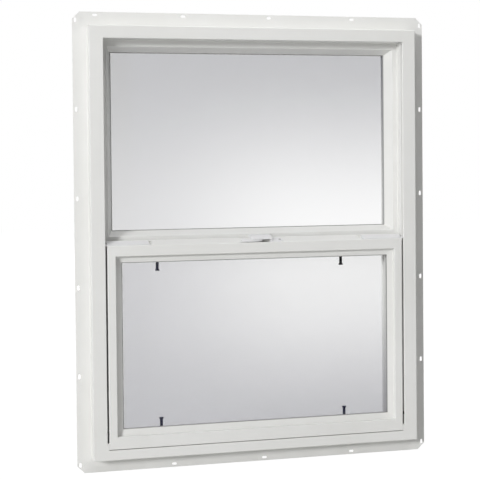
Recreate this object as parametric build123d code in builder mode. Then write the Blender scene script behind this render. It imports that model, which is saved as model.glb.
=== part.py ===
from build123d import *
import os

os.makedirs("parts", exist_ok=True)

# A single hung window in white vinyl: a fixed light above, a lower sash that slides up
# on the room side of it, and a half insect screen outdoors of the sash.
# X runs across the window, +Y points outdoors and +Z is up. The origin lies on the
# room-side face of the nailing fin, halfway down the fin below the sill.

# Overall sizes
frame_width = 756
frame_height = 952
room_depth = 35
outdoor_depth = 47.5

# Nailing fin
fin_width = 32
fin_thickness = 1.8
fin_corner_cut = 16
nail_slot_length = 11
nail_slot_width = 5.5
nail_edge_distance = 7
nail_end_margin = 18
side_nail_count = 6
head_nail_start = 50
head_nail_pitch = 198.5
sill_nail_start = 218
sill_nail_pitch = 210

# Frame section, measured inward from the outer edge of the frame
jamb_face = 31
head_face = 28
sill_face = 22
ledge_height = 41
leg_height = 54
leg_thickness = 5.2
channel_from_room = 3
channel_width = 9
channel_depth = 18
sill_riser = 3
sill_pocket_height = 36
sill_leg_height = 46
sash_dam_height = 38

# Vinyl extrusions: hollow cells, rounded edges and the drain slots of the sill
vinyl_wall = 2.2
vinyl_web = 1.6
face_radius = 1.5
nose_radius = 0.8
fin_seam = 0.6
drain_length = 25
drain_width = 5
drain_spacing = 520

# Meeting rail, its top measured from the underside of the frame
meeting_top = 486.5
meeting_height = 42.5
screen_lip = 11

# Insulating glass
pane_thickness = 2.5
air_space = 7
glass_edge_gap = 3
spacer_inset = 1
spacer_width = 8
glass_tape = 0.3
seal_width = 1.6
seal_depth = 1.8

# Glazing beads: the fixed light has deep ones and the sash has shallow ones
upper_bead_width = 13
upper_bead_nose = 2
upper_bead_lip = 2.5
sash_bead_width = 14
sash_bead_nose = 3
sash_bead_lip = 2.5
sash_bead_depth = 4

# Sash
side_gap = 4
sill_gap = 1.5
pile_space = 3.5
sash_face = 18.5
sash_leg_height = 31
sash_leg_thickness = 3.2
bottom_rail_base = 8.5
top_rail_rise = 4.5
slope_rise = 10
slope_top_width = 4.5
sash_reveal = 6.5

# Weatherstrips and small clearances
seat_gap = 0.3
pile_width = 4
gasket_width = 6
gasket_inset = 14

# Sash lock
lock_left = -17
lock_right = 33.5
lock_front = 0.8
lock_depth = 20
lock_height = 7.4
lock_roof = 1.2
lock_corner = 4
lock_edge = 0.8
lock_back_wall = 5
lock_end_wall = 5
lock_mouth_radius = 2.4
lock_pocket_depth = 5
lock_pocket_lip = 1.5
flange_reach = 25
flange_thickness = 1.8
flange_screw_inset = 7.5
screw_hole_radius = 1.9
screw_sink_radius = 3.4
lever_gap = 0.4
lever_lift = 1.8
lever_pivot_r = 4.5
lever_pivot_x = 6
lever_tip_x = -39.5
lever_tip_r = 2.2
lever_bow = 1.5
keeper_length = 52
keeper_shift = 10

# Tilt latches and pivot bars
latch_length = 94
latch_front = 3
latch_depth = 21
latch_thickness = 1.2
latch_corner = 2.5
latch_travel = 6
latch_fit = 0.3
latch_pocket_depth = 3
latch_nose_depth = 6
latch_nose_thickness = 3
nose_reach = 6
pivot_height = 60
pivot_thickness = 6
channel_clearance = 1

# Insect screen
screen_bar_width = 15
screen_bar_depth = 8.5
screen_bar_wall = 0.8
screen_room_face = 33
screen_clearance = 0.5
spline_width = 3
spline_depth = 3
spline_from_inside = 2
spline_fit = 0.1
mesh_thickness = 0.25
tab_length = 22
tab_width = 6.5
tab_head_width = 10
tab_head_length = 3.5
tab_thickness = 1.2
tab_radius = 0.8
top_tab_shift = 0
bottom_tab_shift = 6
tab_spacing = 438

# Levels and planes worked out from the sizes above
frame_bottom = fin_width / 2
frame_top = frame_bottom + frame_height
fin_span = frame_width + 2 * fin_width
fin_rise = frame_height + 2 * fin_width
leg_inner = outdoor_depth - leg_thickness
glass_thickness = 2 * pane_thickness + air_space
upper_glass_y = leg_inner - glass_tape - glass_thickness
ledge_half = frame_width / 2 - ledge_height
jamb_half = frame_width / 2 - jamb_face
leg_half = frame_width / 2 - leg_height
meeting_z = frame_bottom + meeting_top
meeting_bottom = meeting_z - meeting_height
sill_z = frame_bottom + sill_face
pocket_floor = frame_bottom + sill_pocket_height
sill_leg_top = frame_bottom + sill_leg_height

sash_half = jamb_half - side_gap
sash_back = -pile_space
sash_glass_y = sash_back - sash_leg_thickness - glass_tape - glass_thickness
sash_bottom = sill_z + sill_gap
sash_ring_bottom = sash_bottom + bottom_rail_base
sash_top = meeting_z - sash_reveal
slope_bottom = sash_top - slope_rise
sash_ring_top = slope_bottom - top_rail_rise
slope_run = room_depth - pile_space - slope_top_width
slope_plane = Plane(
    origin=(0, -room_depth, slope_bottom),
    x_dir=(1, 0, 0),
    z_dir=(0, -slope_rise, slope_run),
)
slope_normal = Axis(slope_plane.origin, slope_plane.z_dir)
mouth_right = lock_right - lock_end_wall
mouth_depth = lock_depth - lock_back_wall
channel_front = -room_depth + channel_from_room
channel_back = channel_front + channel_width

screen_half = ledge_half - screen_clearance
screen_bottom = pocket_floor + seat_gap
screen_top = meeting_bottom - screen_clearance
screen_back = screen_room_face + screen_bar_depth


def ring_sides(half_width, bottom, top):
    """Four section planes round a rectangle: x points inward, y outdoors, z along the side."""
    middle = (bottom + top) / 2
    width = 2 * half_width
    height = top - bottom
    return {
        "left": (Plane((-half_width, 0, middle), x_dir=(1, 0, 0), z_dir=(0, 0, 1)), height),
        "right": (Plane((half_width, 0, middle), x_dir=(-1, 0, 0), z_dir=(0, 0, -1)), height),
        "bottom": (Plane((0, 0, bottom), x_dir=(0, 0, 1), z_dir=(-1, 0, 0)), width),
        "top": (Plane((0, 0, top), x_dir=(0, 0, -1), z_dir=(1, 0, 0)), width),
    }


def mitred_length(side, outline, rounds=(), cells=(), overrun=0):
    """Extrude a section along one side of a ring and cut both ends at 45 degrees.

    Rounds are corners of the outline with their radii, and cells are hollows given by
    two opposite corners.
    """
    plane, length = side
    with BuildSketch(plane) as section:
        with BuildLine():
            Polyline(*outline, close=True)
        make_face()
        for corner, radius in rounds:
            fillet(section.vertices().sort_by_distance(corner)[0], radius)
        for low, high in cells:
            with Locations(low):
                Rectangle(high[0] - low[0], high[1] - low[1], align=Align.MIN, mode=Mode.SUBTRACT)
    extrude(section.sketch, amount=length / 2 + overrun, both=True)
    for end in (1, -1):
        corner = plane.from_local_coords((0, 0, end * length / 2))
        keep_side = plane.x_dir * -1 - plane.z_dir * end
        split(bisect_by=Plane(corner, z_dir=keep_side), keep=Keep.TOP)


def clip_fin_corners(side):
    """Cut the tip off the fin at both mitres of one frame member."""
    plane, length = side
    for end in (1, -1):
        reach = end * (length / 2 + fin_width - fin_corner_cut)
        corner = plane.from_local_coords((-fin_width, 0, reach))
        keep_side = plane.x_dir - plane.z_dir * end
        split(bisect_by=Plane(corner, z_dir=keep_side), keep=Keep.TOP)


def punch_nail_slots(places, turn):
    """Punch nail slots through the fin at places given as X and Z."""
    with BuildSketch(Plane.XZ) as slots:
        with Locations(*places):
            SlotOverall(nail_slot_length, nail_slot_width, rotation=turn)
    extrude(slots.sketch, amount=-fin_thickness, mode=Mode.SUBTRACT)


def round_long_edge(member, y, z):
    """Round the edge that runs across the window at a given depth and level."""
    along = member.edges().filter_by(Axis.X)
    fillet(along.sort_by_distance((0, y, z))[0], face_radius)


def groove_fin_seam(member, sign):
    """Chamfer the fin along a bottom mitre, which makes half of a shallow groove."""
    seams = member.edges().filter_by(Axis((0, 0, 0), (1, 0, -sign)))
    seams = seams.filter_by(lambda edge: edge.center().Z < frame_bottom and edge.center().X * sign > 0)
    chamfer(seams.sort_by(Axis.Y)[0], fin_seam)


def nail_row(start, pitch, z):
    """Places along a head or sill fin, as many as fit from a start at its left end."""
    count = int((fin_span - start - nail_end_margin) // pitch) + 1
    return [(start + number * pitch - fin_span / 2, z) for number in range(count)]


def slab(half_width, front, back, low, high, mode=Mode.ADD):
    """Add or cut a bar that lies across the window, between two levels."""
    with BuildSketch(Plane.XY.offset(low)) as footprint:
        with Locations((0, (front + back) / 2)):
            Rectangle(2 * half_width, back - front)
    extrude(footprint.sketch, amount=high - low, mode=mode)


def save(piece, label):
    """Name a finished piece and write it out."""
    piece.part.label = label
    export_step(piece.part, f"parts/{label}.step")


# Frame sections: the fin, the room-side face, the ledge that the sash closes against
# and the outdoor leg that holds the glass and the screen
fin_and_face = [
    (-fin_width, fin_thickness),
    (-fin_width, 0),
    (0, 0),
    (0, -room_depth),
    (jamb_face, -room_depth),
]
balance_channel = [
    (jamb_face, channel_front),
    (jamb_face - channel_depth, channel_front),
    (jamb_face - channel_depth, channel_back),
    (jamb_face, channel_back),
]
ledge_and_leg = [
    (jamb_face, 0),
    (ledge_height, 0),
    (ledge_height, leg_inner),
    (leg_height, leg_inner),
    (leg_height, outdoor_depth),
    (0, outdoor_depth),
    (0, fin_thickness),
]
rail_outline = fin_and_face + ledge_and_leg
jamb_outline = fin_and_face + balance_channel + ledge_and_leg
frame_rounds = [
    ((0, -room_depth), face_radius),
    ((jamb_face, -room_depth), face_radius),
    ((ledge_height, 0), nose_radius),
    ((leg_height, leg_inner), nose_radius),
    ((leg_height, outdoor_depth), face_radius),
    ((0, outdoor_depth), face_radius),
]
cell_divide = outdoor_depth / 2


def face_cell(depth):
    """The hollow behind the room-side face of a head or sill."""
    return [((vinyl_wall, vinyl_wall - room_depth), (depth - vinyl_wall, -vinyl_web / 2))]


def ledge_cells(depth):
    """Two hollows outdoors of the fin, parted by a web."""
    inner = depth - vinyl_wall
    return [
        ((vinyl_wall, vinyl_web / 2), (inner, cell_divide - vinyl_web / 2)),
        ((vinyl_wall, cell_divide + vinyl_web / 2), (inner, outdoor_depth - vinyl_wall)),
    ]


channel_cells = [
    ((vinyl_wall, vinyl_wall - room_depth), (jamb_face - channel_depth - vinyl_wall, channel_back)),
    ((vinyl_wall, channel_back + vinyl_wall), (jamb_face - vinyl_wall, -vinyl_web / 2)),
]
frame_sides = ring_sides(frame_width / 2, frame_bottom, frame_top)
nail_line = fin_span / 2 - nail_edge_distance
side_nail_low = frame_bottom - fin_width + nail_end_margin
side_nail_pitch = (fin_rise - 2 * nail_end_margin) / (side_nail_count - 1)
side_nail_levels = [side_nail_low + number * side_nail_pitch for number in range(side_nail_count)]

# Jambs
for hand, sign in (("left", -1), ("right", 1)):
    with BuildPart() as frame_jamb:
        cells = channel_cells + ledge_cells(ledge_height)
        mitred_length(frame_sides[hand], jamb_outline, frame_rounds, cells, fin_width)
        clip_fin_corners(frame_sides[hand])
        groove_fin_seam(frame_jamb, sign)
        punch_nail_slots([(sign * nail_line, level) for level in side_nail_levels], 90)
    save(frame_jamb, f"frame_jamb_{hand}")

# Head, with its face trimmed between the jambs
with BuildPart() as frame_head:
    cells = face_cell(head_face) + ledge_cells(ledge_height)
    mitred_length(frame_sides["top"], rail_outline, frame_rounds, cells, fin_width)
    clip_fin_corners(frame_sides["top"])
    slab(jamb_half, -room_depth, 0, frame_top - jamb_face, frame_top - head_face, Mode.SUBTRACT)
    round_long_edge(frame_head, -room_depth, frame_top - head_face)
    head_nail_z = frame_top + fin_width - nail_edge_distance
    punch_nail_slots(nail_row(head_nail_start, head_nail_pitch, head_nail_z), 0)
save(frame_head, "frame_head")

# Sill, with a low face under the sash, a riser behind it, a pocket for the screen,
# a dam that closes the sash gap at each end and slots that drain the pocket outdoors
dam_width = side_gap - seat_gap
with BuildPart() as frame_sill:
    cells = face_cell(sill_face) + ledge_cells(sill_pocket_height)
    mitred_length(frame_sides["bottom"], rail_outline, frame_rounds, cells, fin_width)
    clip_fin_corners(frame_sides["bottom"])
    for sign in (-1, 1):
        groove_fin_seam(frame_sill, sign)
    slab(jamb_half, -room_depth, 0, sill_z, frame_bottom + jamb_face, Mode.SUBTRACT)
    round_long_edge(frame_sill, -room_depth, sill_z)
    slab(ledge_half, sill_riser, leg_inner, pocket_floor, frame_bottom + ledge_height, Mode.SUBTRACT)
    slab(leg_half, leg_inner, outdoor_depth, sill_leg_top, frame_bottom + leg_height, Mode.SUBTRACT)
    with BuildSketch(Plane.XY.offset(sill_z)):
        for sign in (-1, 1):
            with Locations((sign * (jamb_half - dam_width / 2), sash_back - room_depth / 2)):
                Rectangle(dam_width, room_depth + 2 * sash_back)
    extrude(amount=sash_dam_height - sill_face)
    with BuildSketch(Plane.XY.offset(pocket_floor)):
        with Locations((0, leg_inner - drain_width)):
            with GridLocations(drain_spacing, drain_width, 2, 1):
                SlotOverall(drain_length, drain_width)
    extrude(amount=-vinyl_wall, mode=Mode.SUBTRACT)
    with BuildSketch(Plane.XZ.offset(-outdoor_depth)):
        with Locations((0, frame_bottom + vinyl_wall + drain_width / 2)):
            with GridLocations(drain_spacing, drain_width, 2, 1):
                SlotOverall(drain_length, drain_width)
    extrude(amount=vinyl_wall, mode=Mode.SUBTRACT)
    sill_nail_z = frame_bottom - fin_width + nail_edge_distance
    punch_nail_slots(nail_row(sill_nail_start, sill_nail_pitch, sill_nail_z), 0)
save(frame_sill, "frame_sill")

# Fixed meeting rail: a body between the jamb ledges and a leg between the jamb legs
with BuildPart() as fixed_meeting_rail:
    with BuildSketch(Plane.YZ) as rail_section:
        with Locations((leg_inner / 2, meeting_z - meeting_height / 2)):
            Rectangle(leg_inner, meeting_height)
            fillet(rail_section.vertices().group_by(Axis.X)[0], face_radius)
            rail_cell = (leg_inner - 2 * vinyl_wall - vinyl_web) / 2
            with GridLocations(rail_cell + vinyl_web, meeting_height, 2, 1):
                Rectangle(rail_cell, meeting_height - 2 * vinyl_wall, mode=Mode.SUBTRACT)
    extrude(amount=ledge_half, both=True)
    leg_rise = leg_height - ledge_height
    slab(leg_half, leg_inner, outdoor_depth, meeting_bottom - screen_lip, meeting_z + leg_rise)
save(fixed_meeting_rail, "fixed_meeting_rail")


def glazing(prefix, half_width, bottom, top, room_face, bead_width):
    """Two panes, the spacer between them and the seal along the bead, inside a rebate."""
    middle = (bottom + top) / 2
    width = 2 * (half_width - glass_edge_gap)
    height = top - bottom - 2 * glass_edge_gap
    spacer_face = room_face + pane_thickness
    for layer, face in (("room", room_face), ("outside", spacer_face + air_space)):
        with BuildPart() as pane:
            with BuildSketch(Plane.XZ.offset(-face)):
                with Locations((0, middle)):
                    Rectangle(width, height)
            extrude(amount=-pane_thickness)
        save(pane, f"{prefix}_pane_{layer}")
    with BuildPart() as spacer:
        with BuildSketch(Plane.XZ.offset(-spacer_face)):
            with Locations((0, middle)):
                Rectangle(width - 2 * spacer_inset, height - 2 * spacer_inset)
                inner = spacer_inset + spacer_width
                Rectangle(width - 2 * inner, height - 2 * inner, mode=Mode.SUBTRACT)
        extrude(amount=-air_space)
    save(spacer, f"{prefix}_spacer")
    with BuildPart() as seal:
        with BuildSketch(Plane.XZ.offset(-room_face)):
            with Locations((0, middle)):
                Rectangle(2 * (half_width - bead_width), top - bottom - 2 * bead_width)
                inner = bead_width + seal_width
                Rectangle(2 * (half_width - inner), top - bottom - 2 * inner, mode=Mode.SUBTRACT)
        extrude(amount=seal_depth)
    save(seal, f"{prefix}_glazing_seal")


# Fixed upper light
upper_bead_outline = [
    (0, 0),
    (upper_bead_nose, 0),
    (upper_bead_width, upper_glass_y - upper_bead_lip),
    (upper_bead_width, upper_glass_y),
    (0, upper_glass_y),
]
upper_bead_rounds = [
    ((upper_bead_nose, 0), face_radius),
    ((upper_bead_width, upper_glass_y - upper_bead_lip), nose_radius),
]
upper_sides = ring_sides(ledge_half, meeting_z, frame_top - ledge_height)
for place, side in upper_sides.items():
    with BuildPart() as upper_bead:
        mitred_length(side, upper_bead_outline, upper_bead_rounds)
    save(upper_bead, f"upper_bead_{place}")
glazing("upper", ledge_half, meeting_z, frame_top - ledge_height, upper_glass_y, upper_bead_width)

# Sash members: stiles mitred to rails, with a glazing rebate open to the room
sash_outline = [
    (0, -room_depth),
    (sash_face, -room_depth),
    (sash_face, sash_back - sash_leg_thickness),
    (sash_leg_height, sash_back - sash_leg_thickness),
    (sash_leg_height, sash_back),
    (0, sash_back),
]
sash_inner_round = ((sash_face, -room_depth), face_radius)
sash_outer_round = ((0, -room_depth), face_radius)
sash_cells = [((vinyl_wall, vinyl_wall - room_depth), (sash_face - vinyl_wall, sash_back - vinyl_wall))]
sash_sides = ring_sides(sash_half, sash_ring_bottom, sash_ring_top)
for hand in ("left", "right"):
    with BuildPart() as sash_stile:
        mitred_length(sash_sides[hand], sash_outline, [sash_inner_round, sash_outer_round], sash_cells)
    save(sash_stile, f"sash_stile_{hand}")

# Bottom rail, carried down to the sill
with BuildPart() as sash_bottom_rail:
    mitred_length(sash_sides["bottom"], sash_outline, [sash_inner_round], sash_cells)
    slab(sash_half, -room_depth, sash_back, sash_bottom, sash_ring_bottom)
    round_long_edge(sash_bottom_rail, -room_depth, sash_bottom)
save(sash_bottom_rail, "sash_bottom_rail")

# Top rail, with a top that slopes down towards the room, a pocket for each tilt latch
# and a routed hole under the mouth of the lock
latch_pocket = latch_length + latch_travel
with BuildPart() as sash_top_rail:
    mitred_length(sash_sides["top"], sash_outline, [sash_inner_round], sash_cells)
    with BuildSketch(Plane.YZ):
        with BuildLine():
            Polyline(
                (-room_depth, sash_ring_top),
                (-room_depth, slope_bottom),
                (-room_depth + slope_run, sash_top),
                (sash_back, sash_top),
                (sash_back, sash_ring_top),
                close=True,
            )
        make_face()
    extrude(amount=sash_half, both=True)
    round_long_edge(sash_top_rail, -room_depth, slope_bottom)
    with BuildSketch(slope_plane):
        for sign in (-1, 1):
            with Locations((sign * (sash_half - latch_pocket / 2), latch_front + latch_depth / 2)):
                Rectangle(latch_pocket, latch_depth + 2 * latch_fit)
    extrude(amount=-latch_pocket_depth, mode=Mode.SUBTRACT)
    lock_pocket_left = lever_pivot_x - lever_pivot_r
    with BuildSketch(slope_plane):
        with Locations((lock_pocket_left, lock_pocket_lip)):
            Rectangle(mouth_right - lock_pocket_left, mouth_depth - lock_pocket_lip, align=Align.MIN)
    extrude(amount=-lock_pocket_depth, mode=Mode.SUBTRACT)
save(sash_top_rail, "sash_top_rail")

# Sash beads and glass
sash_bead_outline = [
    (0, sash_glass_y - sash_bead_depth),
    (sash_bead_nose, sash_glass_y - sash_bead_depth),
    (sash_bead_width, sash_glass_y - sash_bead_lip),
    (sash_bead_width, sash_glass_y),
    (0, sash_glass_y),
]
sash_bead_rounds = [
    ((sash_bead_nose, sash_glass_y - sash_bead_depth), face_radius),
    ((sash_bead_width, sash_glass_y - sash_bead_lip), nose_radius),
]
pocket_half = sash_half - sash_face
pocket_bottom = sash_ring_bottom + sash_face
pocket_top = sash_ring_top - sash_face
for place, side in ring_sides(pocket_half, pocket_bottom, pocket_top).items():
    with BuildPart() as sash_bead:
        mitred_length(side, sash_bead_outline, sash_bead_rounds)
    save(sash_bead, f"sash_bead_{place}")
glazing("sash", pocket_half, pocket_bottom, pocket_top, sash_glass_y, sash_bead_width)

# Weatherstrips: pile behind each stile, pile on the meeting rail and a gasket under the sash
pile_gap_middle = (ledge_half + sash_half) / 2
for hand, sign in (("left", -1), ("right", 1)):
    with BuildPart() as sash_pile:
        with BuildSketch(Plane.XY.offset(sash_bottom)):
            with Locations((sign * pile_gap_middle, (sash_back - seat_gap) / 2)):
                Rectangle(pile_width, pile_space - seat_gap)
        extrude(amount=sash_top - sash_bottom)
    save(sash_pile, f"sash_pile_{hand}")

with BuildPart() as meeting_pile:
    slab(ledge_half - pile_width, sash_back + seat_gap, 0, slope_bottom - pile_width, slope_bottom)
save(meeting_pile, "meeting_pile")

with BuildPart() as sash_gasket:
    gasket_front = -room_depth + gasket_inset
    gasket_back = gasket_front + gasket_width
    slab(sash_half - gasket_inset, gasket_front, gasket_back, sill_z + seat_gap, sash_bottom)
save(sash_gasket, "sash_gasket")

# Sash lock: a cover on the slope with an open mouth and a screw flange, and a bowed lever
# whose hub turns inside the mouth
lock_y_front = -room_depth + lock_front
lock_y_middle = lock_y_front + lock_depth / 2
mouth_height = lock_height - lock_roof
mouth_width = mouth_right - lock_left
mouth_plane = Plane(
    origin=slope_plane.from_local_coords((lock_left, 0, 0)),
    x_dir=slope_plane.x_dir,
    z_dir=slope_plane.y_dir * -1,
)
flange_right = lock_right + flange_reach


def keep_above_slope(low, high):
    """Keep the layer of a piece between two heights above the sloping rail top."""
    split(bisect_by=slope_plane.offset(low), keep=Keep.TOP)
    split(bisect_by=slope_plane.offset(high), keep=Keep.BOTTOM)


with BuildPart() as lock_housing:
    with BuildSketch(Plane.XY.offset(slope_bottom)):
        with Locations(((lock_left + lock_right) / 2, lock_y_middle)):
            RectangleRounded(lock_right - lock_left, lock_depth, lock_corner)
    extrude(amount=slope_rise + 2 * lock_height)
    keep_above_slope(0, lock_height)
    fillet(lock_housing.faces().sort_by(slope_normal)[-1].edges(), lock_edge)
    with BuildSketch(slope_plane):
        with Locations((lock_right, lock_front + lock_depth / 2)):
            SlotOverall(2 * flange_reach, lock_depth)
    extrude(amount=flange_thickness)
    with BuildSketch(mouth_plane) as mouth:
        with Locations((mouth_width / 2, mouth_height / 2)):
            Rectangle(mouth_width, mouth_height)
        fillet(mouth.vertices().group_by(Axis.X)[-1], lock_mouth_radius)
    extrude(amount=-mouth_depth, mode=Mode.SUBTRACT)
    with Locations(slope_plane.offset(flange_thickness)):
        with Locations((flange_right - flange_screw_inset, lock_front + lock_depth / 2)):
            CounterSinkHole(screw_hole_radius, screw_sink_radius)
save(lock_housing, "lock_housing")

mouth_back = slope_plane.from_local_coords((0, mouth_depth, mouth_height)).Y
lever_hub = Vector(lever_pivot_x, mouth_back - lever_gap - lever_pivot_r)
lever_tip = Vector(lever_tip_x, lock_y_front + lever_tip_r)
lever_middle = (lever_hub + lever_tip) / 2 - Vector(0, lever_bow)
lever_half = (lever_pivot_r + lever_tip_r) / 2
with BuildPart() as lock_lever:
    with BuildSketch(Plane.XY.offset(slope_bottom)):
        with BuildLine():
            front = ThreePointArc(
                lever_tip - Vector(0, lever_tip_r),
                lever_middle - Vector(0, lever_half),
                lever_hub - Vector(0, lever_pivot_r),
            )
            hub_end = lever_hub + Vector(0, lever_pivot_r)
            hub = ThreePointArc(front @ 1, lever_hub + Vector(lever_pivot_r, 0), hub_end)
            tip_end = lever_tip + Vector(0, lever_tip_r)
            back = ThreePointArc(hub @ 1, lever_middle + Vector(0, lever_half), tip_end)
            ThreePointArc(back @ 1, lever_tip - Vector(lever_tip_r, 0), front @ 0)
        make_face()
    extrude(amount=slope_rise + 2 * lock_height)
    keep_above_slope(lever_lift, mouth_height - lever_gap)
save(lock_lever, "lock_lever")

# Keeper on the meeting rail
with BuildPart() as lock_keeper:
    with BuildSketch(Plane.XY.offset(sash_top + seat_gap)):
        with Locations((keeper_shift, (sash_back + seat_gap) / 2)):
            Rectangle(keeper_length, pile_space - seat_gap)
    extrude(amount=sash_reveal - seat_gap)
save(lock_keeper, "lock_keeper")

# Tilt latches: a plate in each pocket of the slope whose nose runs into the balance channel
nose_length = side_gap + nose_reach
with BuildPart() as tilt_latch_left:
    with BuildSketch(slope_plane.offset(-latch_pocket_depth)) as plate:
        with Locations((-sash_half + latch_length / 2, latch_front + latch_depth / 2)):
            Rectangle(latch_length, latch_depth)
        fillet(plate.vertices().group_by(Axis.X)[-1], latch_corner)
    extrude(amount=latch_pocket_depth + latch_thickness)
    with BuildSketch(slope_plane.offset(latch_thickness)):
        nose_front = latch_front + channel_clearance
        with Locations((-sash_half - nose_length / 2, nose_front + latch_nose_depth / 2)):
            Rectangle(nose_length, latch_nose_depth)
    extrude(amount=-latch_nose_thickness)
save(tilt_latch_left, "tilt_latch_left")

with BuildPart() as tilt_latch_right:
    mirror(tilt_latch_left.part, about=Plane.YZ)
save(tilt_latch_right, "tilt_latch_right")

# Pivot bars at the foot of the stiles
for hand, sign in (("left", -1), ("right", 1)):
    with BuildPart() as pivot_bar:
        with BuildSketch(Plane.XY.offset(frame_bottom + pivot_height)):
            with Locations((sign * (sash_half + nose_length / 2), (channel_front + channel_back) / 2)):
                Rectangle(nose_length, channel_width - 2 * channel_clearance)
        extrude(amount=pivot_thickness)
    save(pivot_bar, f"pivot_bar_{hand}")

# Insect screen: four roll-formed bars with a spline groove, the cloth, the spline and pull tabs
groove_inner = screen_bar_width - spline_from_inside
groove_outer = groove_inner - spline_width
groove_floor = screen_back - spline_depth
screen_outline = [
    (0, screen_room_face),
    (screen_bar_width, screen_room_face),
    (screen_bar_width, screen_back),
    (groove_inner, screen_back),
    (groove_inner, groove_floor),
    (groove_outer, groove_floor),
    (groove_outer, screen_back),
    (0, screen_back),
]
screen_rounds = [
    ((0, screen_room_face), nose_radius),
    ((screen_bar_width, screen_room_face), nose_radius),
    ((0, screen_back), nose_radius),
]
screen_cells = [
    (
        (screen_bar_wall, screen_room_face + screen_bar_wall),
        (groove_outer - screen_bar_wall, screen_back - screen_bar_wall),
    ),
]
for place, side in ring_sides(screen_half, screen_bottom, screen_top).items():
    with BuildPart() as screen_bar:
        mitred_length(side, screen_outline, screen_rounds, screen_cells)
    save(screen_bar, f"screen_bar_{place}")

screen_middle = (screen_bottom + screen_top) / 2
screen_height = screen_top - screen_bottom
with BuildPart() as screen_mesh:
    with BuildSketch(Plane.XZ.offset(-screen_back)):
        with Locations((0, screen_middle)):
            Rectangle(2 * (screen_half - groove_inner), screen_height - 2 * groove_inner)
    extrude(amount=-mesh_thickness)
save(screen_mesh, "screen_mesh")

with BuildPart() as screen_spline:
    with BuildSketch(Plane.XZ.offset(-groove_floor)):
        with Locations((0, screen_middle)):
            outer = groove_outer + spline_fit
            inner = groove_inner - spline_fit
            Rectangle(2 * (screen_half - outer), screen_height - 2 * outer)
            Rectangle(2 * (screen_half - inner), screen_height - 2 * inner, mode=Mode.SUBTRACT)
    extrude(amount=-spline_depth)
save(screen_spline, "screen_spline")

with BuildPart() as screen_pull_tabs:
    with BuildSketch(Plane.XZ.offset(-screen_back)) as tabs:
        top_root = screen_top - screen_bar_width
        bottom_root = screen_bottom + screen_bar_width
        for root, way, shift in ((top_root, -1, top_tab_shift), (bottom_root, 1, bottom_tab_shift)):
            with Locations((shift, root + way * tab_length / 2)):
                with GridLocations(tab_spacing, tab_length, 2, 1):
                    Rectangle(tab_width, tab_length)
            with Locations((shift, root + way * (tab_length - tab_head_length / 2))):
                with GridLocations(tab_spacing, tab_length, 2, 1):
                    Rectangle(tab_head_width, tab_head_length)
        fillet(tabs.vertices(), tab_radius)
    extrude(amount=tab_thickness)
save(screen_pull_tabs, "screen_pull_tabs")
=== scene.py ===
import math

import bmesh
import bpy
from mathutils import Matrix, Vector


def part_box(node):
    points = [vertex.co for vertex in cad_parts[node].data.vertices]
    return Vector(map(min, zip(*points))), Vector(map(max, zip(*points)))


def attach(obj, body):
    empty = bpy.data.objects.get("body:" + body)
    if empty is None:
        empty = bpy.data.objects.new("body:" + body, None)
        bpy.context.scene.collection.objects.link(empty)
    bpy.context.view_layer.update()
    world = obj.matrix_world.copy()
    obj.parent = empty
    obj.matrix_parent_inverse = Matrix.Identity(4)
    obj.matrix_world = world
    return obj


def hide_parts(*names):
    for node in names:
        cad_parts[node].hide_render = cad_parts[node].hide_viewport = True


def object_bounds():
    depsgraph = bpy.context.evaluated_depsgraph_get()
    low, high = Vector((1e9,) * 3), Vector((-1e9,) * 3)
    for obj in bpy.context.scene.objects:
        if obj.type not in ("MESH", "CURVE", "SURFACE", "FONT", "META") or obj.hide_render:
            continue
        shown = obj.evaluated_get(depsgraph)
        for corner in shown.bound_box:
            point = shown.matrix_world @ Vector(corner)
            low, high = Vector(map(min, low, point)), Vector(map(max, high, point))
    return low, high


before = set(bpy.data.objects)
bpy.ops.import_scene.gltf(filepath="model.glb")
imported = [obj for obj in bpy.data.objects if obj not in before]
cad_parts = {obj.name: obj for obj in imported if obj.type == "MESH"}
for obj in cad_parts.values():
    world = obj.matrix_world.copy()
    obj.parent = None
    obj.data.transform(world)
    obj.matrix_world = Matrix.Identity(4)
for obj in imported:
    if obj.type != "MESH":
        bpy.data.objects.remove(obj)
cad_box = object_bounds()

MM = 0.001
scene = bpy.context.scene
scene.view_settings.view_transform = "Standard"

# Camera, in millimetres, degrees and pixels: left of the window and a little above its middle
CAMERA_PLACE = (-738.87, -2736.42, 682.73)
CAMERA_YAW = 14.441
CAMERA_PITCH = 1.375
CAMERA_ROLL = -0.524
CAMERA_FOCUS_PX = 1247.2
IMAGE_PX = 480
AXIS_ROW_PX = 185
SENSOR_MM = 36


def set_camera():
    """Stand the camera where the window is seen from, with the lens shifted down to frame it."""
    yaw = math.radians(CAMERA_YAW)
    pitch = math.radians(CAMERA_PITCH)
    roll = math.radians(CAMERA_ROLL)
    share = math.cos(pitch)
    ahead = Vector((math.sin(yaw) * share, math.cos(yaw) * share, -math.sin(pitch)))
    level = Vector((math.cos(yaw), -math.sin(yaw), 0))
    upright = level.cross(ahead)
    across = math.cos(roll) * level + math.sin(roll) * upright
    upward = -math.sin(roll) * level + math.cos(roll) * upright
    lens = bpy.data.cameras.new("window_camera")
    lens.sensor_width = SENSOR_MM
    lens.lens = CAMERA_FOCUS_PX * SENSOR_MM / IMAGE_PX
    lens.shift_y = (AXIS_ROW_PX - IMAGE_PX / 2) / IMAGE_PX
    camera = bpy.data.objects.new("window_camera", lens)
    scene.collection.objects.link(camera)
    turn = Matrix((across, upward, -ahead)).transposed().to_4x4()
    camera.matrix_world = Matrix.Translation(Vector(CAMERA_PLACE) * MM) @ turn
    scene.camera = camera


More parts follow.
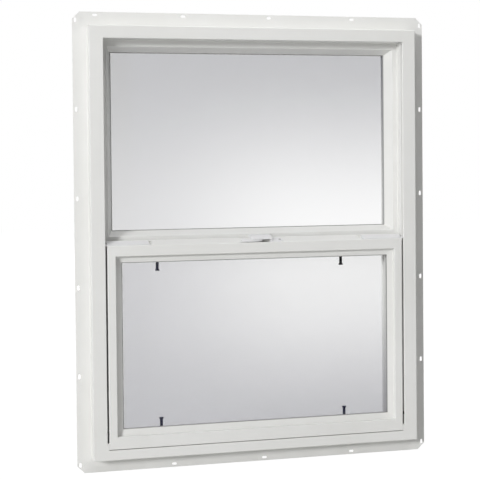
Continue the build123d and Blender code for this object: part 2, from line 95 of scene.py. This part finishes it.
# Studio, in metres and watts
AIM = Vector((0, -0.02, 0.49))
KEY_PLACE = Vector((-8.64, -7.54, 3.60))
KEY_SIZE = 2.4
KEY_POWER = 973
TOP_PLACE = Vector((0.2, -0.5, 3.0))
TOP_AIM = Vector((0, 0, -1))
TOP_WIDTH = 3.0
TOP_DEPTH = 2.4
TOP_POWER = 58
BACK_PLACE = Vector((-2.2, 6.0, 1.4))
BACK_SIZE = 3.0
BACK_POWER = 220
AMBIENT_LEVEL = 0.01
AMBIENT_COLOUR = (1.0, 0.985, 0.95)
BACKDROP_LEVEL = 1
BACKDROP_COLOUR = (1, 1, 1)
FLOOR_DROP = 0.0005
FLOOR_HALF = 9
FLOOR_COLOUR = (0.85, 0.85, 0.84)
FLOOR_SEEN = (0.16, 0.16, 0.16)
FLOOR_GLOW_NEAR = 0.93
FLOOR_GLOW_FAR = 1.0
FLOOR_WHITE_FROM = 0.6
FLOOR_WHITE_AT = 2.2


def seen_directly(tree):
    """A value of 1 for what the eye meets: rays from the camera, in a mirror or through glass."""
    path = tree.nodes.new("ShaderNodeLightPath")
    seen = path.outputs["Is Camera Ray"]
    for kind in ("Is Glossy Ray", "Is Transmission Ray"):
        either = tree.nodes.new("ShaderNodeMath")
        either.operation = "MAXIMUM"
        tree.links.new(seen, either.inputs[0])
        tree.links.new(path.outputs[kind], either.inputs[1])
        seen = either.outputs[0]
    return seen


def hang_lamp(name, place, aim, width, height, power):
    """A flat lamp that shines along aim and isn't seen itself."""
    light = bpy.data.lights.new(name, "AREA")
    light.shape = "RECTANGLE"
    light.size = width
    light.size_y = height
    light.energy = power
    lamp = bpy.data.objects.new(name, light)
    scene.collection.objects.link(lamp)
    lamp.location = place
    lamp.rotation_mode = "QUATERNION"
    lamp.rotation_quaternion = aim.to_track_quat("-Z", "Y")
    lamp.visible_camera = False
    lamp.visible_glossy = False


def hang_backdrop():
    """A white background to look at that gives the window only a faint light."""
    world = bpy.data.worlds.new("studio_surround")
    scene.world = world
    world.use_nodes = True
    tree = world.node_tree
    tree.nodes.clear()
    around = tree.nodes.new("ShaderNodeBackground")
    around.inputs["Color"].default_value = (*AMBIENT_COLOUR, 1)
    around.inputs["Strength"].default_value = AMBIENT_LEVEL
    backdrop = tree.nodes.new("ShaderNodeBackground")
    backdrop.inputs["Color"].default_value = (*BACKDROP_COLOUR, 1)
    backdrop.inputs["Strength"].default_value = BACKDROP_LEVEL
    choose = tree.nodes.new("ShaderNodeMixShader")
    tree.links.new(seen_directly(tree), choose.inputs["Fac"])
    tree.links.new(around.outputs[0], choose.inputs[1])
    tree.links.new(backdrop.outputs[0], choose.inputs[2])
    out = tree.nodes.new("ShaderNodeOutputWorld")
    tree.links.new(choose.outputs[0], out.inputs["Surface"])


def light_studio():
    """Soft lamps at the upper left, above and behind."""
    hang_lamp("key_softbox", KEY_PLACE, AIM - KEY_PLACE, KEY_SIZE, KEY_SIZE, KEY_POWER)
    hang_lamp("top_softbox", TOP_PLACE, TOP_AIM, TOP_WIDTH, TOP_DEPTH, TOP_POWER)
    hang_lamp("back_softbox", BACK_PLACE, AIM - BACK_PLACE, BACK_SIZE, BACK_SIZE, BACK_POWER)


def floor_paint():
    """Matt paint that glows towards white with distance where the eye meets it."""
    paint = bpy.data.materials.new("studio_floor")
    paint.use_nodes = True
    tree = paint.node_tree
    tree.nodes.clear()
    seen = seen_directly(tree)

    tone = tree.nodes.new("ShaderNodeMix")
    tone.data_type = "RGBA"
    tone.inputs["A"].default_value = (*FLOOR_COLOUR, 1)
    tone.inputs["B"].default_value = (*FLOOR_SEEN, 1)
    tree.links.new(seen, tone.inputs["Factor"])
    matt = tree.nodes.new("ShaderNodeBsdfDiffuse")
    tree.links.new(tone.outputs["Result"], matt.inputs["Color"])

    spot = tree.nodes.new("ShaderNodeTexCoord")
    reach = tree.nodes.new("ShaderNodeVectorMath")
    reach.operation = "LENGTH"
    tree.links.new(spot.outputs["Object"], reach.inputs[0])
    whiten = tree.nodes.new("ShaderNodeMapRange")
    whiten.inputs["From Min"].default_value = FLOOR_WHITE_FROM
    whiten.inputs["From Max"].default_value = FLOOR_WHITE_AT
    whiten.inputs["To Min"].default_value = FLOOR_GLOW_NEAR
    whiten.inputs["To Max"].default_value = FLOOR_GLOW_FAR
    tree.links.new(reach.outputs["Value"], whiten.inputs["Value"])
    level = tree.nodes.new("ShaderNodeMath")
    level.operation = "MULTIPLY"
    tree.links.new(seen, level.inputs[0])
    tree.links.new(whiten.outputs["Result"], level.inputs[1])
    glow = tree.nodes.new("ShaderNodeEmission")
    tree.links.new(level.outputs[0], glow.inputs["Strength"])

    both = tree.nodes.new("ShaderNodeAddShader")
    tree.links.new(matt.outputs[0], both.inputs[0])
    tree.links.new(glow.outputs[0], both.inputs[1])
    out = tree.nodes.new("ShaderNodeOutputMaterial")
    tree.links.new(both.outputs[0], out.inputs["Surface"])
    return paint


def make_object(name, shape, material):
    """An object in the scene that takes over a bmesh's shape, with one material."""
    mesh = bpy.data.meshes.new(name)
    shape.to_mesh(mesh)
    shape.free()
    mesh.materials.append(material)
    made = bpy.data.objects.new(name, mesh)
    scene.collection.objects.link(made)
    return made


def lay_floor():
    """A plain pale floor under the fin that keeps a faint shadow."""
    flat = bmesh.new()
    bmesh.ops.create_grid(flat, x_segments=1, y_segments=1, size=FLOOR_HALF)
    bmesh.ops.translate(flat, verts=flat.verts, vec=(0, 0, cad_box[0].z - FLOOR_DROP))
    floor = make_object("studio_floor", flat, floor_paint())


class Finish:
    """A material under construction: its node tree, its shader and small helpers for both.

    The colour and roughness it starts with hold until something is linked over them."""

    def __init__(self, name, colour, roughness):
        self.material = bpy.data.materials.new(name)
        self.material.use_nodes = True
        self.tree = self.material.node_tree
        self.shader = self.tree.nodes["Principled BSDF"]
        self.fix("Base Color", (*colour, 1))
        self.fix("Roughness", roughness)
        self.place = self.tree.nodes.new("ShaderNodeTexCoord").outputs["Object"]

    def fix(self, socket, value):
        """Give the shader a value that is the same all over."""
        self.shader.inputs[socket].default_value = value

    def add(self, kind, **settings):
        node = self.tree.nodes.new(kind)
        for key, value in settings.items():
            setattr(node, key, value)
        return node

    def link(self, source, target):
        self.tree.links.new(source, target)

    def stretched(self, scale):
        """Object coordinates scaled apart along X, Y and Z."""
        mapping = self.add("ShaderNodeMapping")
        mapping.inputs["Scale"].default_value = scale
        self.link(self.place, mapping.inputs["Vector"])
        return mapping.outputs["Vector"]

    def noise(self, vector, scale, detail, roughness):
        grain = self.add("ShaderNodeTexNoise")
        grain.inputs["Scale"].default_value = scale
        grain.inputs["Detail"].default_value = detail
        grain.inputs["Roughness"].default_value = roughness
        self.link(vector, grain.inputs["Vector"])
        return grain.outputs["Fac"]

    def range(self, value, low, high, start=0.0, stop=1.0, ease="LINEAR"):
        """Carry a value from start..stop to low..high, held at both ends."""
        remap = self.add("ShaderNodeMapRange", interpolation_type=ease)
        remap.inputs["From Min"].default_value = start
        remap.inputs["From Max"].default_value = stop
        remap.inputs["To Min"].default_value = low
        remap.inputs["To Max"].default_value = high
        self.link(value, remap.inputs["Value"])
        return remap.outputs["Result"]

    def blend(self, amount, first, second):
        """A colour between two colours."""
        mix = self.add("ShaderNodeMix", data_type="RGBA")
        mix.inputs["A"].default_value = (*first, 1)
        mix.inputs["B"].default_value = (*second, 1)
        self.link(amount, mix.inputs["Factor"])
        return mix.outputs["Result"]

    def math(self, operation, *values):
        """Work out a value from numbers and sockets."""
        node = self.add("ShaderNodeMath", operation=operation)
        for socket, value in zip(node.inputs, values):
            if isinstance(value, (int, float)):
                socket.default_value = value
            else:
                self.link(value, socket)
        return node.outputs[0]

    def bump(self, height, depth, strength):
        relief = self.add("ShaderNodeBump")
        relief.inputs["Distance"].default_value = depth
        relief.inputs["Strength"].default_value = strength
        self.link(height, relief.inputs["Height"])
        self.link(relief.outputs["Normal"], self.shader.inputs["Normal"])

    def colour_from(self, socket):
        self.link(socket, self.shader.inputs["Base Color"])

    def roughness_from(self, socket):
        self.link(socket, self.shader.inputs["Roughness"])

    def alpha_from(self, socket):
        self.link(socket, self.shader.inputs["Alpha"])


# Colours of the finishes
VINYL_WHITE = (0.815, 0.815, 0.80)
VINYL_DULL = (0.785, 0.785, 0.765)
HARDWARE_WHITE = (0.80, 0.80, 0.81)
HARDWARE_DULL = (0.77, 0.77, 0.775)
SCREEN_PAINT = (0.78, 0.78, 0.775)
SCREEN_PAINT_PALE = (0.79, 0.79, 0.785)
SCREEN_PAINT_DULL = (0.75, 0.75, 0.74)
SPACER_ALUMINIUM = (0.62, 0.63, 0.63)
PIVOT_ZINC = (0.10, 0.10, 0.098)
SCREW_STEEL = (0.46, 0.46, 0.45)
TAB_BLACK = (0.010, 0.010, 0.012)
SPLINE_GREY = (0.10, 0.10, 0.10)
GASKET_BLACK = (0.05, 0.05, 0.05)
SEAL_GREY = (0.30, 0.30, 0.295)
PILE_GREY = (0.33, 0.33, 0.325)
PILE_DARK = (0.16, 0.16, 0.155)
PILE_PALE = (0.42, 0.42, 0.41)
YARN_GREY = (0.22, 0.22, 0.225)
YARN_DARK = (0.18, 0.18, 0.19)
YARN_PALE = (0.27, 0.27, 0.275)

# Scales of the die lines, how far grain and fibres are drawn out, and how far gloss and shade wander
DIE_LINES_ACROSS = 900.0
DIE_LINES_ALONG = 3.0
ROLLED_GRAIN_DRAW = 0.04
FIBRE_DRAW = 0.15
GLOSSIER = 0.1
DULLER = 0.15
METAL_SHADE = 0.8
FLECK_GAIN = 1.5
FLECK_LIFT = 0.01


def extruded_vinyl(name, run):
    """White vinyl with faint die lines along its run, soft gloss and a slightly uneven white."""
    finish = Finish(name, VINYL_WHITE, roughness=0.38)
    spread = [DIE_LINES_ACROSS] * 3
    spread["XYZ".index(run)] = DIE_LINES_ALONG
    lines = finish.noise(finish.stretched(spread), scale=1.0, detail=2, roughness=0.6)
    clouds = finish.noise(finish.place, scale=7.0, detail=4, roughness=0.55)
    patches = finish.range(clouds, low=0, high=1, start=0.35, stop=0.7)
    finish.colour_from(finish.blend(patches, VINYL_WHITE, VINYL_DULL))
    cloudy_gloss = finish.range(clouds, low=-0.05, high=0.07)
    lined_gloss = finish.range(lines, low=0.30, high=0.44)
    finish.roughness_from(finish.math("ADD", cloudy_gloss, lined_gloss))
    finish.bump(lines, depth=0.02 * MM, strength=0.5)
    finish.fix("IOR", 1.5)
    finish.fix("Specular IOR Level", 0.25)
    return finish.material


def moulded_white(name):
    """Moulded white hardware: a fine satin texture, a touch colder than the vinyl."""
    finish = Finish(name, HARDWARE_WHITE, roughness=0.42)
    satin = finish.noise(finish.place, scale=1400.0, detail=3, roughness=0.6)
    clouds = finish.noise(finish.place, scale=40.0, detail=3, roughness=0.5)
    finish.colour_from(finish.blend(clouds, HARDWARE_WHITE, HARDWARE_DULL))
    finish.roughness_from(finish.range(satin, low=0.36, high=0.5))
    finish.bump(satin, depth=0.03 * MM, strength=0.6)
    return finish.material


def painted_screen_bar(name):
    """White paint on roll-formed aluminium, with slow waves from the rollers."""
    finish = Finish(name, SCREEN_PAINT, roughness=0.35)
    peel = finish.noise(finish.place, scale=600.0, detail=2, roughness=0.5)
    waves = finish.noise(finish.place, scale=14.0, detail=2, roughness=0.5)
    finish.colour_from(finish.blend(waves, SCREEN_PAINT_PALE, SCREEN_PAINT_DULL))
    finish.roughness_from(finish.range(peel, low=0.28, high=0.42))
    finish.bump(peel, depth=0.02 * MM, strength=0.5)
    return finish.material


def mill_metal(name, colour, roughness, scale):
    """Bare metal with a rolled grain."""
    finish = Finish(name, colour, roughness)
    finish.fix("Metallic", 1.0)
    spread = (scale, scale * ROLLED_GRAIN_DRAW, scale)
    grain = finish.noise(finish.stretched(spread), scale=1.0, detail=3, roughness=0.6)
    finish.roughness_from(finish.range(grain, roughness - GLOSSIER, roughness + DULLER))
    darker = tuple(METAL_SHADE * part for part in colour)
    finish.colour_from(finish.blend(grain, colour, darker))
    finish.bump(grain, depth=0.02 * MM, strength=0.5)
    return finish.material


def soft_rubber(name, colour, roughness):
    """Matt rubber or nylon with a fine skin."""
    finish = Finish(name, colour, roughness)
    skin = finish.noise(finish.place, scale=1100.0, detail=4, roughness=0.6)
    paler = tuple(FLECK_GAIN * part + FLECK_LIFT for part in colour)
    flecks = finish.range(skin, low=0, high=0.7, start=0.4, stop=0.8)
    finish.colour_from(finish.blend(flecks, colour, paler))
    finish.roughness_from(finish.range(skin, roughness - GLOSSIER, roughness + DULLER))
    finish.bump(skin, depth=0.05 * MM, strength=0.6)
    finish.fix("Specular IOR Level", 0.15)
    return finish.material


def wool_pile(name):
    """Grey weather pile: short fibres that stand out from their backing."""
    finish = Finish(name, PILE_GREY, roughness=0.95)
    spread = (1.0, FIBRE_DRAW, 1.0)
    fibres = finish.noise(finish.stretched(spread), scale=2600.0, detail=2, roughness=0.7)
    tips = finish.range(fibres, low=0, high=1, start=0.3, stop=0.7)
    finish.colour_from(finish.blend(tips, PILE_DARK, PILE_PALE))
    finish.bump(fibres, depth=0.4 * MM, strength=0.9)
    finish.fix("Sheen Weight", 0.3)
    return finish.material


def coated_yarn(name):
    """Grey coated glass yarn of the insect screen."""
    finish = Finish(name, YARN_GREY, roughness=0.55)
    coat = finish.noise(finish.place, scale=900.0, detail=2, roughness=0.5)
    finish.colour_from(finish.blend(coat, YARN_DARK, YARN_PALE))
    finish.roughness_from(finish.range(coat, low=0.45, high=0.65))
    return finish.material


# Glass: its tint and a painted reflection that thickens the veil towards one end and the left, with
# the heights of the veil's fall and where its left and right shares hold, in metres
GLASS_TINT = (0.045, 0.05, 0.058)
GLASS_ROUGHNESS = 0.04
GLASS_IOR = 1.52
# Veil colours and falls: the glass tint plus a painted reflection, thickest high on the upper pane
# and low on the sash pane
UPPER_TINT_AND_REFLECTION = (0.045, 0.05, 0.10)
UPPER_REFLECTION_FALL = (0.93, 0.50)
SASH_TINT_AND_REFLECTION = (0.04, 0.042, 0.115)
SASH_REFLECTION_FALL = (0.02, 0.42)
REFLECTION_SIDES = (-0.42, 0.22)


def pane_glass(name, tint, body, gain, fall, left, right):
    """Tinted glass under a painted reflection: a grey veil that thins out from one end of the pane
    to the other.

    body is the share that the veil always lets by, gain what is added where it is thinnest.
    fall gives the heights where the veil is thickest and thinnest, and left and right the
    share of that change towards the two sides of the window."""
    finish = Finish(name, tint, GLASS_ROUGHNESS)
    split = finish.add("ShaderNodeSeparateXYZ")
    finish.link(finish.place, split.inputs[0])
    # Painted reflection: the veil is thickest at the first height of its fall and towards the left
    along = finish.range(split.outputs["Z"], 0, 1, *fall, ease="SMOOTHSTEP")
    sideways = finish.range(split.outputs["X"], left, right, *REFLECTION_SIDES, ease="SMOOTHERSTEP")
    clear = finish.math("MULTIPLY", along, sideways)
    passed = finish.math("MULTIPLY_ADD", clear, gain, body)
    # Light crosses two faces of the pane, so each face lets the square root by
    one_face = finish.math("POWER", passed, 0.5)
    finish.alpha_from(finish.math("SUBTRACT", 1.0, one_face))
    finish.fix("IOR", GLASS_IOR)
    return finish.material


def clear_pane(name):
    """The outer pane, all but clear."""
    finish = Finish(name, GLASS_TINT, GLASS_ROUGHNESS)
    film = finish.noise(finish.place, scale=3.0, detail=3, roughness=0.5)
    finish.alpha_from(finish.range(film, low=0.004, high=0.012))
    finish.fix("IOR", GLASS_IOR)
    return finish.material


def dress(names, material):
    """Give CAD nodes a material."""
    for name in names:
        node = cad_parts[name]
        node.data.materials.clear()
        node.data.materials.append(material)


LEVELS = ("top", "bottom")
HANDS = ("left", "right")


def placed(piece, places):
    """The names of a piece's nodes at several places."""
    return [f"{piece}_{place}" for place in places]


def dress_frame_and_sash():
    """White vinyl with its die lines along each extrusion, and the fittings on it."""
    rails = ["frame_head", "frame_sill", "fixed_meeting_rail", "sash_top_rail", "sash_bottom_rail"]
    stiles = placed("frame_jamb", HANDS) + placed("sash_stile", HANDS)
    for ring in ("upper_bead", "sash_bead"):
        rails += placed(ring, LEVELS)
        stiles += placed(ring, HANDS)
    dress(rails, extruded_vinyl("vinyl_rails", "X"))
    dress(stiles, extruded_vinyl("vinyl_stiles", "Z"))
    hardware = ["lock_housing", "lock_lever", "lock_keeper"] + placed("tilt_latch", HANDS)
    dress(hardware, moulded_white("lock_white"))
    zinc = mill_metal("pivot_zinc", PIVOT_ZINC, roughness=0.45, scale=500.0)
    dress(placed("pivot_bar", HANDS), zinc)
    dress(["sash_gasket"], soft_rubber("sill_gasket", GASKET_BLACK, roughness=0.6))
    dress(placed("sash_pile", HANDS) + ["meeting_pile"], wool_pile("weather_pile"))


def dress_glazing():
    """Panes, spacers and seals of the upper light and the sash."""
    # Both room-side panes carry the glass tint and a painted reflection
    upper = pane_glass("upper_glass_tint_and_reflection", UPPER_TINT_AND_REFLECTION, body=0.52, gain=0.44,
                       fall=UPPER_REFLECTION_FALL, left=0.40, right=1.0)
    dress(["upper_pane_room"], upper)
    lower = pane_glass("sash_glass_tint_and_reflection", SASH_TINT_AND_REFLECTION, body=0.60, gain=0.40,
                       fall=SASH_REFLECTION_FALL, left=0.18, right=1.0)
    dress(["sash_pane_room"], lower)
    dress(["upper_pane_outside", "sash_pane_outside"], clear_pane("outer_glass"))
    spacer = mill_metal("spacer_aluminium", SPACER_ALUMINIUM, roughness=0.4, scale=400.0)
    dress(["upper_spacer", "sash_spacer"], spacer)
    seal = soft_rubber("seal_vinyl", SEAL_GREY, roughness=0.6)
    dress(["upper_glazing_seal", "sash_glazing_seal"], seal)


def dress_screen():
    """Bars, cloth, spline and pull tabs of the insect screen."""
    dress(placed("screen_bar", LEVELS + HANDS), painted_screen_bar("screen_paint"))
    dress(["screen_mesh"], coated_yarn("screen_yarn"))
    dress(["screen_spline"], soft_rubber("spline_vinyl", SPLINE_GREY, roughness=0.6))
    dress(["screen_pull_tabs"], soft_rubber("tab_nylon", TAB_BLACK, roughness=0.5))


# Lock screw, in the countersunk hole of the lock's flange on the sloping rail
SCREW_TOP = Vector((51, -25.50, 491.44)) * MM
SCREW_LEAN = math.atan2(10, 27)
SCREW_RADIUS = 3.25 * MM
SCREW_SIDES = 40
SHANK_RADIUS = 1.75 * MM
SCREW_DEPTH = 1.7 * MM
RIM_BEVEL = 0.2 * MM
RIM_STEPS = 3
CROSS_REACH = 2.1 * MM
CROSS_HALF = 0.45 * MM
CROSS_DEPTH = 1.1 * MM
CROSS_TAPER = 0.75


def points_of(parts):
    """The vertices among a bmesh operator's results."""
    return [part for part in parts if isinstance(part, bmesh.types.BMVert)]


def draw_cross(head):
    """The outline of the cross recess, three corners to each of its four arms."""
    arm = ((CROSS_REACH, -CROSS_HALF), (CROSS_REACH, CROSS_HALF), (CROSS_HALF, CROSS_HALF))
    corners = []
    for quarter in range(4):
        turn = Matrix.Rotation(quarter * math.pi / 2, 3, "Z")
        corners += [head.verts.new(turn @ Vector((x, y, 0))) for x, y in arm]
    return [head.edges.new((corners[at - 1], corners[at])) for at in range(len(corners))]


def sink_wall(head, outline, depth, taper):
    """Carry an outline down as a tapered wall and close its foot."""
    wall = bmesh.ops.extrude_edge_only(head, edges=outline)["geom"]
    foot = points_of(wall)
    bmesh.ops.scale(head, verts=foot, vec=(taper, taper, 1))
    bmesh.ops.translate(head, verts=foot, vec=(0, 0, -depth))
    edges = [part for part in wall if isinstance(part, bmesh.types.BMEdge)]
    loop = [edge for edge in edges if all(end in foot for end in edge.verts)]
    bmesh.ops.edgeloop_fill(head, edges=loop)


def drive_lock_screw():
    """The countersunk screw in the lock's flange, with a tapered cross recess."""
    head = bmesh.new()
    bmesh.ops.create_circle(head, segments=SCREW_SIDES, radius=SCREW_RADIUS)
    rim = head.edges[:]
    cross = draw_cross(head)
    bmesh.ops.triangle_fill(head, use_beauty=True, edges=rim + cross)
    sink_wall(head, cross, CROSS_DEPTH, CROSS_TAPER)
    sink_wall(head, rim, SCREW_DEPTH, SHANK_RADIUS / SCREW_RADIUS)
    bmesh.ops.bevel(head, geom=rim, offset=RIM_BEVEL, segments=RIM_STEPS, profile=0.5,
                    affect="EDGES", material=-1)
    bmesh.ops.recalc_face_normals(head, faces=head.faces)
    lean = Matrix.Rotation(SCREW_LEAN, 3, "X")
    bmesh.ops.rotate(head, verts=head.verts, cent=(0, 0, 0), matrix=lean)
    bmesh.ops.translate(head, verts=head.verts, vec=SCREW_TOP)
    steel = mill_metal("screw_steel", SCREW_STEEL, roughness=0.35, scale=900.0)
    piece = make_object("lock_screw", head, steel)
    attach(piece, "root")


# Screen cloth: the lap is how far the cross yarns lie behind the upright ones
YARN_RADIUS = 0.1 * MM
YARN_PITCH = 1.6 * MM
YARN_LAP = 1.2 * YARN_RADIUS
YARN_SIDES = 6


def lay_yarns(cloth, length, turn, middle, step, span):
    """Lay parallel yarns over a span: one cylinder, copied on a step at a time."""
    count = int(span / YARN_PITCH)
    first = bmesh.ops.create_cone(cloth, segments=YARN_SIDES, radius1=YARN_RADIUS,
                                  radius2=YARN_RADIUS, depth=length, cap_ends=True)["verts"]
    bmesh.ops.rotate(cloth, verts=first, cent=(0, 0, 0), matrix=turn)
    bmesh.ops.translate(cloth, verts=first, vec=middle - step * (count - 1) / 2)
    own = set(first)
    skin = [part for part in cloth.edges[:] + cloth.faces[:] if part.verts[0] in own]
    yarn = first + skin
    for _ in range(count - 1):
        yarn = bmesh.ops.duplicate(cloth, geom=yarn)["geom"]
        bmesh.ops.translate(cloth, verts=points_of(yarn), vec=step)


def weave_screen():
    """The insect screen's cloth: upright yarns with cross yarns lying against them."""
    low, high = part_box("screen_mesh")
    size = high - low
    middle = (low + high) / 2
    cloth = bmesh.new()
    middle.y = low.y + YARN_RADIUS
    upright = Matrix.Identity(3)
    lay_yarns(cloth, size.z, upright, middle, Vector((YARN_PITCH, 0, 0)), size.x)
    middle.y += YARN_LAP
    across = Matrix.Rotation(math.pi / 2, 3, "Y")
    lay_yarns(cloth, size.x, across, middle, Vector((0, 0, YARN_PITCH)), size.z)
    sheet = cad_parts["screen_mesh"]
    piece = make_object("screen_cloth", cloth, sheet.data.materials[0])
    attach(piece, "root")
    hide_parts("screen_mesh")


set_camera()
hang_backdrop()
light_studio()
lay_floor()
dress_frame_and_sash()
dress_glazing()
dress_screen()
drive_lock_screw()
weave_screen()

bpy.context.view_layer.update()
